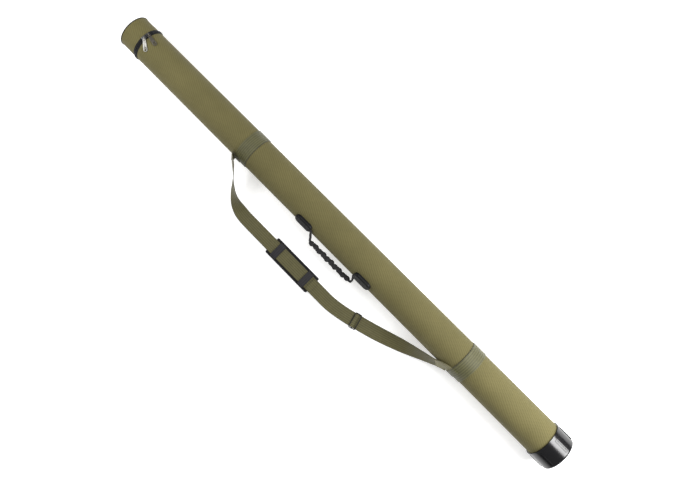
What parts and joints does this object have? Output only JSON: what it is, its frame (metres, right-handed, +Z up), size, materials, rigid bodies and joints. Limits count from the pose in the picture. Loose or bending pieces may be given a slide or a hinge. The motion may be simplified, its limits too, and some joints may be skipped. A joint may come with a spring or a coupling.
{
  "type": "rod case",
  "caption": "Long rigid tube in a fabric sleeve with a zipped hinged lid, moulded end cap, carry handle and adjustable padded shoulder strap.",
  "frame": {"origin": "centre of the end cap's flat outer face", "axes": "+X runs along the tube from the end cap to the lid, +Y to the side with the handle and the strap, +Z up with the case lying down"},
  "size_m": [1.5325, 0.2202, 0.1045],
  "materials": {
    "sleeve_cloth": "matte",
    "olive_webbing": "matte",
    "black_webbing": "matte",
    "pipe_plastic": "matte",
    "cap_plastic": "gloss",
    "clip_plastic": "satin",
    "lining_foam": "matte",
    "zip_black": "matte",
    "zip_nylon": "satin",
    "zip_metal": "satin",
    "pull_metal": "satin",
    "wire_steel": "gloss",
    "rivet_metal": "satin",
    "piping_black": "satin"
  },
  "bodies": {
    "case": {"inner_tube": "pipe_plastic", "fabric_sleeve": "sleeve_cloth", "end_cap": "cap_plastic", "base_foam": "lining_foam", "upper_band": "olive_webbing", "lower_band": "olive_webbing", "strap_upper": "olive_webbing", "strap_lower": "olive_webbing", "strap_tail": "olive_webbing", "strap_anchor_upper": "olive_webbing", "strap_anchor_lower": "olive_webbing", "zip_tape_case": "zip_black", "zip_coil_case": "zip_nylon", "zip_stops": "zip_metal", "hinge_flap_case": "sleeve_cloth", "handle_clip_upper": "clip_plastic", "handle_clip_lower": "clip_plastic", "handle_rivets": "rivet_metal"},
    "lid": {"lid_ring": "pipe_plastic", "lid_disc": "pipe_plastic", "lid_foam": "lining_foam", "lid_cover": "sleeve_cloth", "lid_piping": "piping_black", "zip_tape_lid": "zip_black", "zip_coil_lid": "zip_nylon", "hinge_flap_lid": "sleeve_cloth"},
    "slider_front": {"zip_slider_front": "zip_metal"},
    "pull_front": {"zip_pull_front": "pull_metal"},
    "slider_rear": {"zip_slider_rear": "zip_metal"},
    "pull_rear": {"zip_pull_rear": "pull_metal"},
    "handle": {"handle_core": "black_webbing", "handle_grip": "black_webbing"},
    "pad": {"shoulder_pad": "black_webbing", "pad_loop_upper": "black_webbing", "pad_loop_lower": "black_webbing"},
    "buckle": {"triglide": "wire_steel"}
  },
  "joints": [
    {"name": "lid_hinge", "type": "hinge", "parent": "case", "child": "lid", "pos_m": [1.473, 0, -0.048], "axis": [0, 1, 0], "range_deg": [0, 110]},
    {"name": "zip_front", "type": "hinge", "parent": "case", "child": "slider_front", "pos_m": [1.473, 0, 0], "axis": [1, 0, 0], "range_deg": [-135, 0]},
    {"name": "zip_rear", "type": "hinge", "parent": "case", "child": "slider_rear", "pos_m": [1.473, 0, 0], "axis": [1, 0, 0], "range_deg": [0, 107]},
    {"name": "pull_front_swing", "type": "hinge", "parent": "slider_front", "child": "pull_front", "pos_m": [1.4715, -0.00553, 0.05261], "axis": [0.6157, 0.7837, 0.0824], "range_deg": [0, 150]},
    {"name": "pull_rear_swing", "type": "hinge", "parent": "slider_rear", "child": "pull_rear", "pos_m": [1.4715, -0.01982, 0.04905], "axis": [0.1392, 0.9182, 0.371], "range_deg": [0, 150]},
    {"name": "handle_swing", "type": "hinge", "parent": "case", "child": "handle", "pos_m": [0.722, 0.04274, 0.02671], "axis": [1, 0, 0], "range_deg": [-14, 175]},
    {"name": "pad_slide", "type": "slide", "parent": "case", "child": "pad", "axis": [1, 0, 0], "range_m": [0, 0.05]},
    {"name": "buckle_slide", "type": "slide", "parent": "case", "child": "buckle", "axis": [-0.9659, -0.2588, 0], "range_m": [-0.01, 0.01]}
  ]
}
